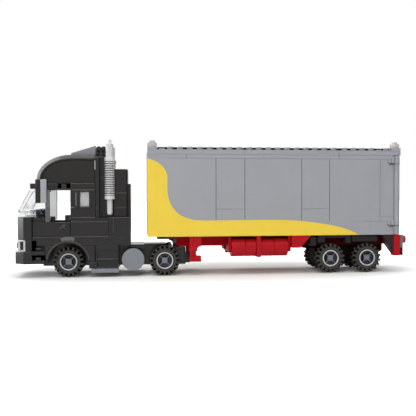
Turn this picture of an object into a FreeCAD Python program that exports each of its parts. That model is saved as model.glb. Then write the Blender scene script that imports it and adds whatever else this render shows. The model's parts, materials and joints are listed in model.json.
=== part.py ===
import FreeCAD, Part
import math
import os

# Toy articulated truck built of interlocking bricks: tractor and box semi-trailer
# The truck faces -X, +Z is up, the ground is z = 0, and all sizes are in millimetres

# Brick system
pitch = 8.0
plate = 3.2
stud_r = 2.4
stud_h = 1.7
relief = 0.1
seam = 0.05
panel_t = 2.0

# Trailer's front end and its length in studs, from which every place along the truck follows
trailer_front = -57.0
trailer_studs = 26
roof_lap = 6.16

# Wheels
tyre_r = 12.4
tyre_width = 7.6
tyre_sides = 36
rim_r = 6.9
rim_sides = 20
rim_lip = 0.8
hub_r = 3.0
axle_r = 1.6
axle_fit = 0.05
wheel_inset = 3.0
arch_gap = 3.3
arch_t = 1.3
guard_gap = 0.8
bed_gap = 7.2

# Tanks, lamps and round fittings
disc_r = 9.1
tank_r = 7.4
lens_r = 3.4
horn_r = 3.9
pipe_r = 2.2
sleeve_r = 4.0
leg_r = 1.8

# Doors and clear parts
rear_door_t = 5.8
door_gap = 0.3
glass_t = 1.6
roof_band = 4.4
roof_edge = 3.0


def tx(n):
    # Place along the truck, in studs behind the trailer's front end
    return trailer_front + pitch * n


def rx(n):
    # Place along the truck, in studs behind the trailer's rear end
    return trailer_front + pitch * (trailer_studs + n)


# Places along the truck
bumper_x = tx(-13.175)
nose_x = tx(-12.925)
corner_x = tx(-12.225)
cab_front = tx(-11.4)
pillar_x = tx(-10.1)
door_rear = tx(-7.65)
sleeper_x = tx(-5.2)
cab_rear = tx(-1.675)
steer_axle_x = tx(-7.91)
drive_axle_x = tx(1.76)
tandem_x = rx(-6.74)
tandem_rear_x = rx(-2.74)
kingpin_x = tx(3)
tail_x = tx(4)
filler_x = tx(-10.15)
disc_x = tx(-1.46)
tank_x = tx(8.625)
slope_x = rx(-11.05)
tank_end = slope_x - 0.325 * pitch
guard_x = rx(-8.97)
guard_rear = rx(-1.6)
trailer_rear = rx(0)
roof_studs = trailer_studs + roof_lap / pitch
beam_rear = rx(0.75)
truck_rear = rx(1.425)

# Heights and widths
trailer_z = 2 * tyre_r + bed_gap
frame_bottom = 2.5 * plate
frame_top = 8 * plate
tail_top = 7 * plate
beam_z = 7.2 * plate
bumper_z0 = 3.5 * plate
bumper_z1 = 6.6 * plate
lamp_z = 9.5 * plate
door_z = 10.3 * plate
sill_z = 14 * plate
fascia_z = 15.3 * plate
eave_z = 22 * plate
roof_z = 23.6 * plate
roof_top = 30.8 * plate
base_z = trailer_z + 3.5 * plate
low_brick = trailer_z + 7 * plate
panel_top = trailer_z + 20 * plate
second_top = trailer_z + 21 * plate
trailer_top = trailer_z + 22 * plate
half_width = 3 * pitch
wall_in = 2 * pitch
beam_half = pitch - relief
wheel_y = half_width - wheel_inset - tyre_width / 2
arch_r = tyre_r + arch_gap


def vec(x, y, z):
    return FreeCAD.Vector(x, y, z)


def block(x0, x1, y0, y1, z0, z1):
    return Part.makeBox(x1 - x0, y1 - y0, z1 - z0, vec(x0, y0, z0))


def brick(x0, x1, y0, y1, z0, z1):
    # Neighbouring bricks keep a hairline between them on every side
    return block(x0 + relief, x1 - relief, y0 + relief, y1 - relief, z0 + seam, z1 - seam)


def up(r, x, y, z0, z1):
    return Part.makeCylinder(r, z1 - z0, vec(x, y, z0), vec(0, 0, 1))


def across(r, x, y0, y1, z):
    return Part.makeCylinder(r, y1 - y0, vec(x, y0, z), vec(0, 1, 0))


def prism_y(points, y0, y1):
    # Side-view outline of x, z points pulled across the truck
    outline = [vec(x, y0, z) for x, z in points]
    outline.append(outline[0])
    return Part.Face(Part.makePolygon(outline)).extrude(vec(0, y1 - y0, 0))


def prism_z(points, z0, z1):
    outline = [vec(x, y, z0) for x, y in points]
    outline.append(outline[0])
    return Part.Face(Part.makePolygon(outline)).extrude(vec(0, 0, z1 - z0))


def ring_points(r, sides, turned, cx=0.0, cy=0.0):
    step = 2 * math.pi / sides
    angles = [step * (k + turned) for k in range(sides)]
    return [(cx + r * math.cos(a), cy + r * math.sin(a)) for a in angles]


def round_y(r, sides, y0, y1, turned=0.0):
    return prism_y(ring_points(r, sides, turned), y0, y1)


def round_z(r, sides, x, y, z0, z1):
    return prism_z(ring_points(r, sides, 0.5, x, y), z0, z1)


def arc(cx, cz, rx, rz, start, end, count):
    # Points of an ellipse from one angle to another, in degrees
    points = []
    for k in range(count + 1):
        a = math.radians(start + (end - start) * k / count)
        points.append((cx + rx * math.cos(a), cz + rz * math.sin(a)))
    return points


def mirrored(shape):
    return shape.mirror(vec(0, 0, 0), vec(0, 1, 0))


def pair(shape):
    return [shape, mirrored(shape)]


def save(name, shapes):
    solids = []
    for shape in shapes if isinstance(shapes, list) else [shapes]:
        solids += shape.Solids
    made = solids[0] if len(solids) == 1 else Part.makeCompound(solids)
    made.exportStep("parts/" + name + ".step")
    print(name, len(solids), "solids", round(made.Volume / 1000, 2), "cm3")


# Wheels: the tyre is plain here, and the rim turns on the axle rod

def make_tyre():
    half = tyre_width / 2
    return round_y(tyre_r, tyre_sides, -half, half).cut(round_y(rim_r, rim_sides, -half, half))


def make_rim():
    r = rim_r - axle_fit
    half = tyre_width / 2
    web = tyre_width * 0.2
    spoke_half = hub_r / 5
    face = half - rim_lip * 1.75
    barrel = round_y(r, rim_sides, -half, half)
    barrel = barrel.cut(round_y(r - rim_lip, rim_sides, web, half))
    parts = [round_y(hub_r, 8, -half, face, 0.5)]
    for k in range(4):
        spoke = block(0, r - rim_lip / 2, web, face - rim_lip / 2, -spoke_half, spoke_half)
        spoke.rotate(vec(0, 0, 0), vec(0, 1, 0), 45 + 90 * k)
        parts.append(spoke)
    rim = barrel.fuse(parts).removeSplitter()
    return rim.cut(across(axle_r + axle_fit, 0, -tyre_width, face - rim_lip, 0))


wheel_places = {
    "steer": steer_axle_x,
    "drive": drive_axle_x,
    "tandem_front": tandem_x,
    "tandem_rear": tandem_rear_x,
}


def place_wheel(shape, x, side):
    placed = shape.copy() if side > 0 else mirrored(shape)
    placed.translate(vec(x, side * wheel_y, tyre_r))
    return placed


def make_wheels():
    tyre = make_tyre()
    rim = make_rim()
    for place, x in wheel_places.items():
        for side_name, side in (("left", -1), ("right", 1)):
            save("tyre_" + place + "_" + side_name, place_wheel(tyre, x, side))
            save("rim_" + place + "_" + side_name, place_wheel(rim, x, side))


def axle_rod(x):
    return across(axle_r, x, -wheel_y, wheel_y, tyre_r)


def axle_bore(x):
    return across(axle_r + axle_fit, x, -half_width, half_width, tyre_r)


# Tractor frame

def make_tractor_frame():
    front = cab_front + 2 * plate
    hitch_front = kingpin_x - pitch - 2 * relief
    lower = block(front, tail_x, -beam_half, beam_half, frame_bottom, tail_top)
    upper = block(front, hitch_front, -beam_half, beam_half, tail_top, frame_top - seam)
    beam = lower.fuse(upper).removeSplitter()
    beam = beam.cut([axle_bore(steer_axle_x), axle_bore(drive_axle_x)])
    disc_z = frame_bottom + 1.8 * plate
    drum_end = 2.5 * pitch
    drum = prism_y(ring_points(disc_r * 0.85, 12, 0.5, disc_x, disc_z), beam_half + relief, drum_end)
    wings = brick(cab_rear, disc_x + disc_r, beam_half + relief, wall_in, frame_top - plate, frame_top)
    tail = brick(tail_x, tail_x + 1.15 * plate, -beam_half, beam_half, 2.85 * plate, 5.5 * plate)
    steps = []
    for z0 in (bumper_z0, 5.75 * plate):
        steps += pair(brick(cab_front, filler_x, wall_in, half_width, z0, z0 + plate))
    steps += pair(brick(cab_front, filler_x, pitch, wall_in, bumper_z0, frame_top))
    save("tractor_frame", [beam, tail] + pair(drum) + pair(wings) + steps)
    save("tractor_axles", [axle_rod(steer_axle_x), axle_rod(drive_axle_x)])
    save("kingpin", up(stud_r, kingpin_x, 0, tail_top + seam, trailer_z - plate / 3))
    cover = ring_points(disc_r, 32, 0.5, disc_x, disc_z)
    save("tank_covers", pair(prism_y(cover, drum_end + seam, drum_end + 0.75 * plate)))


# Cab shell

chamfer_y = half_width - 0.75 * pitch


def nose_outline(front, y_out):
    # Plan of a front panel with both of its corners cut off
    corner = corner_x if front == bumper_x else corner_x + relief
    rear = cab_front - relief
    return [(front, -chamfer_y), (corner, -y_out), (rear, -y_out),
            (rear, y_out), (corner, y_out), (front, chamfer_y)]


def make_front():
    save("front_bumper", prism_z(nose_outline(bumper_x, half_width), bumper_z0, bumper_z1 - seam))
    y_out = half_width - relief
    grille_y = 1.5 * pitch
    panel = prism_z(nose_outline(nose_x, y_out), lamp_z + seam, fascia_z - seam)
    lamp = prism_z([(nose_x, grille_y), (nose_x, chamfer_y), (corner_x, y_out), (corner_x, grille_y)],
                   bumper_z1 + seam, lamp_z - seam)
    cheek = block(corner_x + relief, cab_front - relief, grille_y, y_out, bumper_z1 + seam, lamp_z - seam)
    save("headlamps", pair(lamp))
    save("front_panel", [panel, make_grille(grille_y - 2 * relief)] + pair(cheek))


def make_grille(half):
    back = cab_front - 0.75 * plate
    bar_step = (lamp_z - bumper_z1) / 4
    bars = []
    for k in range(3):
        z0 = bumper_z1 + bar_step * (k + 0.7)
        bars.append(block(nose_x + plate / 5, back, -half, half, z0, z0 + bar_step * 0.6))
    plate_back = block(back, cab_front - relief, -half, half, bumper_z1 + seam, lamp_z - seam)
    return plate_back.fuse(bars).removeSplitter()


def make_cab_floor():
    floor = brick(cab_front, cab_rear, -half_width, half_width, frame_top, door_z)
    opening = prism_y(ring_points(arch_r + arch_t + relief, 32, 0.5, steer_axle_x, tyre_r),
                      1.5 * pitch, half_width)
    save("cab_floor", floor.cut(pair(opening)))


def make_arches():
    # Curved guard over each front wheel, with a filler behind it under the door
    outer = arc(steer_axle_x, tyre_r, arch_r + arch_t, arch_r + arch_t, 180, 0, 16)
    inner = arc(steer_axle_x, tyre_r, arch_r, arch_r, 0, 180, 16)
    guard = prism_y(outer + inner, wall_in + relief, half_width - relief)
    front = brick(filler_x, steer_axle_x, wall_in, half_width, 5 * plate, frame_top)
    round_gap = ring_points(arch_r + arch_t + relief, 32, 0.5, steer_axle_x, tyre_r)
    front = front.cut(prism_y(round_gap, wall_in, half_width))
    rear = brick(steer_axle_x, tx(-5.25), wall_in, half_width, tyre_r, frame_top)
    rear = rear.cut(prism_y(round_gap, wall_in, half_width))
    save("wheel_arches", pair(guard) + pair(front) + pair(rear))


def make_steps():
    x0 = tx(-5.2)
    x1 = tx(-2.9)
    rim = 0.4 * plate
    body = brick(x0, x1, 1.5 * pitch, half_width, 2.2 * plate, frame_top)
    body = body.fuse(brick(x0 - 0.66 * pitch, x0 + pitch, 1.5 * pitch, half_width, 2.2 * plate, tyre_r))
    for z0, z1, depth in ((2.6 * plate, 4.2 * plate, plate), (4.6 * plate, 6.8 * plate, plate / 2)):
        body = body.cut(block(x0 + rim, x1 - rim, half_width - depth, half_width, z0, z1))
    save("step_boxes", pair(body.removeSplitter()))
    save("step_tiles", pair(brick(x0 - plate, x1 + relief, wall_in, half_width, 1.1 * plate, 2.2 * plate)))


def make_doors():
    thick = plate
    r = thick / 2
    hinge_x = cab_front + r + relief
    y = half_width - r
    z0 = door_z + door_gap
    z1 = sill_z - door_gap
    handle_z = z0 + 0.65 * (z1 - z0)
    slab = block(hinge_x, door_rear - door_gap, half_width - thick, half_width, z0, z1)
    barrel = up(r, hinge_x, y, z0, z1)
    handle = block(door_rear - 2 * plate, door_rear - plate, half_width, half_width + plate / 4,
                   handle_z, handle_z + plate / 2)
    leaf = slab.fuse([barrel, handle]).removeSplitter()
    save("door_right", leaf)
    save("door_left", mirrored(leaf))


def make_cab_walls():
    inner = half_width - plate
    sill_top = sill_z + plate
    band_top = sill_top + 2.6 * plate
    rear_x = tx(-3.9)
    lower = brick(door_rear, rear_x, inner, half_width, door_z, sill_z)
    sill = brick(door_rear, rear_x, inner, half_width, sill_z, sill_top)
    band = brick(door_rear, sleeper_x, inner, half_width, sill_top, band_top)
    rear = brick(rear_x, cab_rear, wall_in, half_width, door_z, sill_top)
    wall = brick(door_rear, sleeper_x, inner, half_width, band_top, eave_z)
    x0 = door_rear + 0.9 * pitch
    x1 = sleeper_x - 0.6 * pitch
    z0 = band_top + relief
    z1 = eave_z - plate / 2
    wall = wall.cut(block(x0, x1, inner, half_width, z0, z1))
    save("cab_side_walls", [s for part in (lower, sill, band, rear, wall) for s in pair(part)])
    glass = block(x0 + relief, x1 - relief, half_width - 0.7 * plate, half_width - 0.4 * plate,
                  z0 + relief, z1 - relief)
    save("sleeper_glass", pair(glass))


def make_rear_cab():
    # Stepped back of the cab: a tall column behind the roof, then a lower box
    inner = 1.6 * pitch
    low = sill_z + plate
    column_rear = sleeper_x + 1.75 * pitch
    wall_x = cab_rear - plate
    high = roof_top - 0.4 * plate
    rear_top = 27.3 * plate
    column = brick(sleeper_x, column_rear, inner, wall_in, low, high)
    side = brick(column_rear, wall_x, inner, wall_in, low, rear_top)
    filler = brick(sleeper_x, sleeper_x + plate, wall_in, half_width, low, high)
    back = brick(wall_x, cab_rear - 0.7 * plate, -wall_in, wall_in, low, rear_top)
    lower_back = brick(wall_x, cab_rear, -wall_in, wall_in, door_z, low)
    top = brick(column_rear, wall_x, -inner, inner, rear_top - plate, rear_top)
    cap = brick(sleeper_x, column_rear, -inner, inner, high - plate, high)
    riser = brick(column_rear - plate, column_rear, -inner, inner, rear_top - plate, high - plate)
    save("rear_cab", pair(column) + pair(side) + pair(filler) + [back, lower_back, top, cap, riser])


def make_windscreen():
    post = brick(pillar_x, pillar_x + 1.1 * plate, half_width - plate, half_width, sill_z, eave_z)
    save("pillars", pair(post))
    back = pillar_x - relief
    foot = nose_x + plate / 2
    head = cab_front + 0.2 * plate
    knee_z = fascia_z + 1.6 * plate
    low = fascia_z + seam
    high = eave_z - seam
    y = half_width - relief
    outer = [(foot, low), (back, low), (back, high), (head, high), (foot, knee_z)]
    beyond = back + plate
    inner = [(foot + glass_t, low - plate), (beyond, low - plate), (beyond, high - glass_t),
             (head + glass_t, high - glass_t), (foot + glass_t, knee_z)]
    shell = prism_y(outer, -y, y).cut(prism_y(inner, glass_t - y, y - glass_t))
    save("windscreen", shell)


def make_interior():
    column_x = cab_front + 2.1 * plate
    dash_half = 2.5 * pitch
    dash = brick(cab_front, pillar_x + plate / 2, -dash_half, dash_half, door_z, sill_z + plate)
    wheel = round_y(1.4 * plate, 16, -plate / 4, plate / 4)
    wheel.rotate(vec(0, 0, 0), vec(1, 0, 0), 90)
    wheel.rotate(vec(0, 0, 0), vec(0, 1, 0), -25)
    wheel.translate(vec(column_x, 0, sill_z + 2.6 * plate))
    post = round_z(plate / 2, 8, column_x, 0, sill_z, sill_z + 2.2 * plate)
    hood_x = cab_front + 0.6 * plate
    hood = block(hood_x, hood_x + plate, -wall_in, wall_in, sill_z, sill_z + 3.1 * plate)
    lever = block(pillar_x + plate, pillar_x + 2 * plate, beam_half + plate, beam_half + 2 * plate,
                  door_z + seam, sill_z + 1.2 * plate)
    seat_x = pillar_x + 1.2 * plate
    seat = block(seat_x, seat_x + 4 * plate, -beam_half, beam_half, door_z + seam, 12 * plate)
    rest = block(seat_x + 3 * plate, seat_x + 4 * plate, -beam_half, beam_half, 12 * plate, 15.5 * plate)
    save("cab_interior", [dash.fuse([post, wheel, hood]), seat.fuse(rest).removeSplitter()] + pair(lever))


def roof_outline(inset):
    # The roof's front is a quarter of an ellipse, then the top runs level to the rear
    cx = tx(-7.5)
    cz = roof_z + plate
    rear = sleeper_x - relief
    a = 3.46 * pitch - inset
    b = roof_top - cz - inset
    front = [(cx - a, roof_z + seam)] + arc(cx, cz, a, b, 180, 90, 9)
    return front + [(rear, cz + b), (rear, roof_z + seam)]


def make_roof():
    y = half_width - relief
    shell = prism_y(roof_outline(0), -y, y)
    edges = []
    for edge in shell.Edges:
        middle = edge.CenterOfMass
        along = edge.BoundBox.XLength > relief and edge.BoundBox.YLength < relief
        if along and middle.z > roof_z + plate:
            edges.append(edge)
    shell = shell.makeChamfer(roof_edge, edges)
    hollow = roof_outline(roof_band)
    top = hollow[-2][1]
    beyond = sleeper_x + pitch
    hollow = hollow[:-2] + [(beyond, top), (beyond, roof_z - plate), (hollow[0][0], roof_z - plate)]
    shell = shell.cut(prism_y(hollow, -half_width, half_width))
    inset = plate / 5
    panel = prism_y(roof_outline(roof_band + relief), half_width - inset - plate, half_width - inset)
    save("cab_roof", [shell] + pair(panel))
    front = tx(-11.0)
    recess_x = tx(-8.85)
    inner = half_width - plate
    sides = [brick(front, recess_x, inner, half_width, eave_z, roof_z),
             brick(recess_x, door_rear, inner, inner + plate / 4, eave_z, roof_z),
             brick(door_rear, sleeper_x, inner, half_width, eave_z, roof_z)]
    rail = brick(front, front + plate, plate - half_width, half_width - plate, eave_z, roof_z)
    save("eave_plates", [s for side in sides for s in pair(side)] + [rail])
    visor_y = 2.5 * pitch
    visor = block(front - 1.6 * plate, front - seam, -visor_y, visor_y, eave_z + plate / 4, roof_z)
    save("sun_visor", visor)


def make_roof_fittings():
    z = roof_top + seam
    front = tx(-7.65)
    rear = sleeper_x - relief
    wedge = [(front, z), (rear, z), (rear, z + 2.4 * plate), (front, z + plate / 2)]
    save("wind_deflector", prism_y(wedge, -wall_in, wall_in))
    horn_x = sleeper_x + 0.55 * pitch
    z0 = roof_top - 0.4 * plate
    horns = [round_z(horn_r, 12, horn_x, pitch * k / 2, z0, z0 + 2.8 * plate) for k in (-3, -1, 1, 3)]
    save("roof_cylinders", horns)


def make_exhausts():
    x = tx(-3.79)
    y = 2.5 * pitch
    pipe = round_z(pipe_r, 12, x, y, sill_z + 1.6 * plate, roof_top + 3.8 * plate)
    sleeve = round_z(sleeve_r, 12, x, y, sill_z + 5.6 * plate, roof_top - 0.7 * plate)
    arm_z = sill_z + 8 * plate
    arm = block(x - plate / 3, x + plate / 3, wall_in, y, arm_z, arm_z + plate)
    save("exhausts", pair(pipe.fuse([sleeve, arm]).removeSplitter()))


def make_mirrors():
    y1 = half_width + plate
    z0 = sill_z + 4.7 * plate
    z1 = sill_z + 10.6 * plate
    split = tx(-10.5)
    back = brick(split - 0.5 * pitch, split, half_width, y1, z0, z1)
    face = brick(split, split + 0.6 * pitch, half_width, y1, z0, z1)
    save("mirrors", pair(back) + pair(face))


# Trailer body

def wall_solids():
    solids = []
    for n0, n1 in ((0, 4), (4, 12), (12, 20), (20, trailer_studs)):
        solids.append(brick(tx(n0), tx(n1), wall_in, half_width, trailer_z, base_z))
        solids.append(brick(tx(n0), tx(n1), wall_in, half_width, panel_top, second_top))
    column = trailer_studs - 1.5
    for n0, n1 in ((0, 1), (1, 7), (7, 10), (10, 16), (16, 19), (19, column), (column, trailer_studs)):
        thick = panel_t if n1 - n0 > 3 else half_width - wall_in
        y0 = half_width - thick
        if n1 - n0 == 3:
            solids.append(brick(tx(n0), tx(n1), y0, half_width, base_z, low_brick))
            solids.append(brick(tx(n0), tx(n1), y0, half_width, low_brick, panel_top))
        else:
            solids.append(brick(tx(n0), tx(n1), y0, half_width, base_z, panel_top))
    return solids


def make_trailer_body():
    walls = wall_solids()
    save("trailer_wall_right", walls)
    save("trailer_wall_left", [mirrored(s) for s in walls])
    front = [
        brick(tx(0), tx(1), -wall_in, wall_in, trailer_z + plate, base_z),
        brick(tx(0), tx(0.4), -wall_in, wall_in, base_z, panel_top),
        brick(tx(0), tx(1), -wall_in, wall_in, panel_top, second_top),
    ]
    save("trailer_front_wall", front)
    floors = []
    for n0, n1 in ((0, 10), (10, 20), (20, trailer_studs)):
        floors.append(brick(tx(n0), tx(n1), -wall_in, wall_in, trailer_z, trailer_z + plate))
    save("trailer_floor", floors)
    make_trailer_roof()


def make_trailer_roof():
    # Four studs stand for the grid that covers the roof
    sheets = []
    mount_studs = {0: 1.5, 1: None, 2: roof_studs - 2.27}
    for k, (n0, n1) in enumerate(((0, 10), (10, 20), (20, roof_studs))):
        sheet = brick(tx(n0), tx(n1), -half_width, half_width, second_top, trailer_top)
        if mount_studs[k]:
            stud_z = trailer_top - seam
            stud = up(stud_r, tx(mount_studs[k]), 2.5 * pitch, stud_z - plate / 2, stud_z + stud_h)
            sheet = sheet.fuse(pair(stud))
        sheets.append(sheet)
    bases = []
    lamps = []
    for n in (0, roof_studs - 1):
        x = tx(n + 0.5)
        z0 = trailer_top + plate
        z1 = z0 + plate
        bases.append(brick(tx(n), tx(n + 1), -3 * pitch, -2 * pitch, trailer_top, z0))
        lamp = round_z(stud_r + plate / 2, 12, x, -2.5 * pitch, z0 + seam, z1)
        lamps.append(lamp.fuse(round_z(stud_r, 12, x, -2.5 * pitch, z1, z1 + stud_h)))
    save("trailer_roof", sheets + bases)
    save("corner_lamps", lamps)


# Trailer frame

def make_trailer_frame():
    top = trailer_z - seam
    nose_front = kingpin_x - 0.46 * pitch
    nose_rear = kingpin_x + plate / 4
    side = [(nose_front, top), (nose_front, top - plate / 2), (nose_rear, beam_z),
            (beam_rear - relief, beam_z), (beam_rear - relief, top)]
    beam = prism_y(side, -beam_half, beam_half)
    front = tandem_x - 1.25 * pitch
    rear = tandem_rear_x + pitch
    bogie_front = rx(-9.25)
    bogie_rear = rx(-0.6)
    front_z = 6.3 * plate
    rear_z = 5.3 * plate
    bogie = prism_y([(bogie_front, beam_z), (bogie_front, front_z), (front, front_z), (front, frame_bottom),
                     (rear, frame_bottom), (rear, rear_z), (bogie_rear, rear_z), (bogie_rear, beam_z)],
                    -beam_half, beam_half)
    frame = beam.fuse(bogie).removeSplitter()
    bores = [axle_bore(tandem_x), axle_bore(tandem_rear_x)]
    bore = up(stud_r + axle_fit, kingpin_x, 0, tail_top, trailer_z - plate / 5)
    save("trailer_frame", frame.cut(bores + [bore]))
    save("trailer_axles", [axle_rod(tandem_x), axle_rod(tandem_rear_x)])


def make_landing_legs():
    # Each leg is a round column on a web that hangs under the floor, with a curved gusset behind it
    x0 = kingpin_x + 1.3 * pitch
    x1 = x0 + 0.65 * pitch
    y = half_width - 0.3 * pitch
    top = trailer_z - seam
    foot_z = 3.55 * plate
    foot_top = foot_z + plate
    foot_x = x0 + 1.17 * pitch
    gusset_x = x1 + 0.55 * pitch
    gusset_z = 7.5 * plate
    web = [(x0, top), (x0, foot_z), (foot_x, foot_z), (foot_x, foot_top), (foot_x - plate / 2, foot_top),
           (x1, 5.4 * plate)]
    web += arc(gusset_x, 5.8 * plate, gusset_x - x1, gusset_z - 5.8 * plate, 180, 90, 5)
    web.append((gusset_x, top))
    hanger = prism_y(web, y - leg_r, y + leg_r / 2)
    column = round_z(leg_r, 12, x0 + leg_r, y, foot_z, top)
    foot = block(x0, foot_x, y - leg_r, y + leg_r, foot_z, foot_top)
    save("landing_legs", pair(hanger.fuse([column, foot]).removeSplitter()))


def make_trailer_tanks():
    # Four drums a side, held by a band at the middle and a bracket at each end
    z = trailer_z - tank_r - 0.8 * plate
    keep = block(tx(0), trailer_rear, beam_half + relief, half_width, 0, trailer_z)
    outline = [vec(0, y, z0) for y, z0 in ring_points(tank_r, 16, 0.5)]
    face = Part.Face(Part.makePolygon(outline + outline[:1]))
    drum_x = tank_end - tank_x
    first_seam = tank_x + drum_x / 4
    last_seam = tank_end - drum_x / 4
    band_x = tank_x + 2.62 / 6 * drum_x
    band_rear = band_x + 0.46 * pitch
    drums = []
    drum_ends = ((tank_x, first_seam), (first_seam, band_x), (band_rear, last_seam), (last_seam, tank_end))
    for start, end in drum_ends:
        drum = face.extrude(vec(end - start - 2 * relief, 0, 0))
        drum.translate(vec(start + relief, wall_in, z))
        drums += pair(drum.common(keep))
    band = brick(band_x, band_rear, beam_half, half_width, 4.5 * plate, trailer_z)
    save("trailer_tanks", drums + pair(band))
    straps = []
    outer = half_width - 0.25 * pitch
    for x in (tank_x - 0.3 * pitch, tank_end):
        straps += pair(brick(x, x + 0.3 * pitch, beam_half, outer, 5.8 * plate, trailer_z))
    tail = brick(beam_rear, beam_rear + 0.32 * pitch, 1.5 * pitch, half_width, 4.5 * plate, trailer_z)
    under = brick(tx(1), kingpin_x - 0.6 * pitch, -wall_in, wall_in, trailer_z - plate / 2, trailer_z)
    save("trailer_brackets", straps + pair(tail) + [under])


# Blocks over the rear wheels: front, rear, bottom and top
over_tyre = 2 * tyre_r + guard_gap
guard_blocks = (
    (guard_x, rx(-8.3), over_tyre - 0.8 * plate, trailer_z - 0.4 * plate),
    (rx(-8.15), rx(-7.35), over_tyre, trailer_z - 0.25 * plate),
    (rx(-7.35), rx(-5.15), trailer_z - 0.75 * plate, trailer_z),
    (rx(-5.15), rx(-4.5), over_tyre - 0.2 * plate, trailer_z),
    (rx(-4.4), guard_rear, over_tyre + 0.15 * plate, trailer_z - 0.3 * plate),
)


def make_bogie_parts():
    top = trailer_z - seam
    y0 = beam_half + relief
    slope = prism_y([(slope_x, top), (guard_x - relief, top), (slope_x + 0.95 * pitch, 6.8 * plate),
                     (slope_x, 6.8 * plate)], y0, half_width - relief)
    tail_rear = beam_rear - 0.72 * pitch - relief
    tail = prism_y([(guard_rear + 0.4 * pitch, top), (tail_rear, top), (tail_rear, 4.6 * plate),
                    (tail_rear - plate / 2, 4.6 * plate)], y0, wall_in)
    save("slope_brackets", pair(slope) + pair(tail))
    guards = []
    for x0, x1, low, high in guard_blocks:
        guards += pair(brick(x0, x1, beam_half, 2.6 * pitch, low, high))
    save("mudguards", guards)
    bumper = brick(tail_rear + relief, beam_rear, beam_half, half_width, 4.4 * plate, trailer_z)
    save("rear_bumper", pair(bumper))
    lens_x = beam_rear + 0.32 * pitch
    lens = round_y(lens_r, 12, 0, truck_rear - lens_x, 0.5)
    lens.rotate(vec(0, 0, 0), vec(0, 0, 1), -90)
    lens.translate(vec(lens_x, 2.5 * pitch, trailer_z - lens_r - plate / 4))
    save("tail_lamps", pair(lens))


def make_rear_doors():
    r = rear_door_t / 2
    x0 = trailer_rear + door_gap
    axis_x = x0 + r
    axis_y = half_width - r
    z0 = trailer_z + 2 * relief
    z1 = second_top - 2 * relief
    frame = 1.5 * plate
    slab = block(x0, x0 + rear_door_t, door_gap / 2, axis_y, z0, z1)
    leaf = slab.fuse(up(r, axis_x, axis_y, z0, z1)).removeSplitter()
    pocket = block(x0, x0 + r, door_gap / 2 + plate, axis_y - frame, z0 + frame, z1 - frame)
    leaf = leaf.cut(pocket)
    save("rear_door_right", leaf)
    save("rear_door_left", mirrored(leaf))


os.makedirs("parts", exist_ok=True)
make_wheels()
make_tractor_frame()
make_front()
make_cab_floor()
make_arches()
make_steps()
make_doors()
make_cab_walls()
make_rear_cab()
make_windscreen()
make_interior()
make_roof()
make_roof_fittings()
make_exhausts()
make_mirrors()
make_trailer_body()
make_trailer_frame()
make_landing_legs()
make_trailer_tanks()
make_bogie_parts()
make_rear_doors()
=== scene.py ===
import json
import math
import bmesh
import bpy
from mathutils import Matrix, Vector


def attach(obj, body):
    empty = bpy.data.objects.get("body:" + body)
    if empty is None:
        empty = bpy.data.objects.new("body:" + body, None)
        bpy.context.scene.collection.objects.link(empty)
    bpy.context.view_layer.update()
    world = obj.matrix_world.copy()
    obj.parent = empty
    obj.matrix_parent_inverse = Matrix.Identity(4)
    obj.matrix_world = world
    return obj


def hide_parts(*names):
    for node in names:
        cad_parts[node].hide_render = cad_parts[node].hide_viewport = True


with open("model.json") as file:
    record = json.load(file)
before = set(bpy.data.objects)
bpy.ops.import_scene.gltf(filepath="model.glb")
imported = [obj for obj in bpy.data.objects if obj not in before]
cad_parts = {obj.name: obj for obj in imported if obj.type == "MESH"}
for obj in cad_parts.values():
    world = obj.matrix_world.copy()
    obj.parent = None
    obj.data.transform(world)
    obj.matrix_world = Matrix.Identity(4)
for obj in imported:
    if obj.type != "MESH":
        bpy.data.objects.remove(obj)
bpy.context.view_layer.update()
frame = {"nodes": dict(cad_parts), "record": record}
mm = 0.001
print("stage: frame loaded")


def addObject(name, data):
    made = bpy.data.objects.new(name, data)
    bpy.context.scene.collection.objects.link(made)
    return made


# Camera at the photograph's viewpoint

cameraSettings = {"place": (-64.1, -511.7, 65.9), "yaw": 6.6, "pitch": 1.23, "roll": -0.12,
                  "focalPixels": 600.0, "pictureWidth": 416, "sensor": 36.0, "clip": (0.01, 20.0)}


def makeCamera(settings):
    yaw, pitch, roll = (math.radians(settings[k]) for k in ("yaw", "pitch", "roll"))
    ahead = Vector((math.sin(yaw) * math.cos(pitch), math.cos(yaw) * math.cos(pitch), -math.sin(pitch)))
    level = Vector((math.cos(yaw), -math.sin(yaw), 0))
    above = level.cross(ahead)
    right = level * math.cos(roll) + above * math.sin(roll)
    upward = above * math.cos(roll) - level * math.sin(roll)
    data = bpy.data.cameras.new("camera")
    data.sensor_width = settings["sensor"]
    data.lens = settings["focalPixels"] / settings["pictureWidth"] * data.sensor_width
    data.clip_start, data.clip_end = settings["clip"]
    camera = addObject("camera", data)
    turn = Matrix((right, upward, -ahead)).transposed().to_4x4()
    camera.matrix_world = Matrix.Translation(Vector(settings["place"]) * mm) @ turn
    bpy.context.scene.camera = camera


makeCamera(cameraSettings)


# Node groups shared by the materials and by the repeated items

def groupTree(name, kind, inputs, outputs):
    tree = bpy.data.node_groups.new(name, kind)
    for label, socket, value in inputs:
        made = tree.interface.new_socket(name=label, in_out="INPUT", socket_type=socket)
        if value is not None:
            made.default_value = value
    for label, socket in outputs:
        tree.interface.new_socket(name=label, in_out="OUTPUT", socket_type=socket)
    return tree, tree.nodes.new("NodeGroupInput"), tree.nodes.new("NodeGroupOutput")


def addNode(tree, kind, inputs=None, **values):
    made = tree.nodes.new(kind)
    for key, value in values.items():
        setattr(made, key, value)
    for key, value in (inputs or {}).items():
        if isinstance(value, bpy.types.NodeSocket):
            tree.links.new(value, made.inputs[key])
        else:
            made.inputs[key].default_value = value
    return made


def mathNode(tree, operation, first, second=0.0):
    return addNode(tree, "ShaderNodeMath", {0: first, 1: second}, operation=operation).outputs[0]


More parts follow.
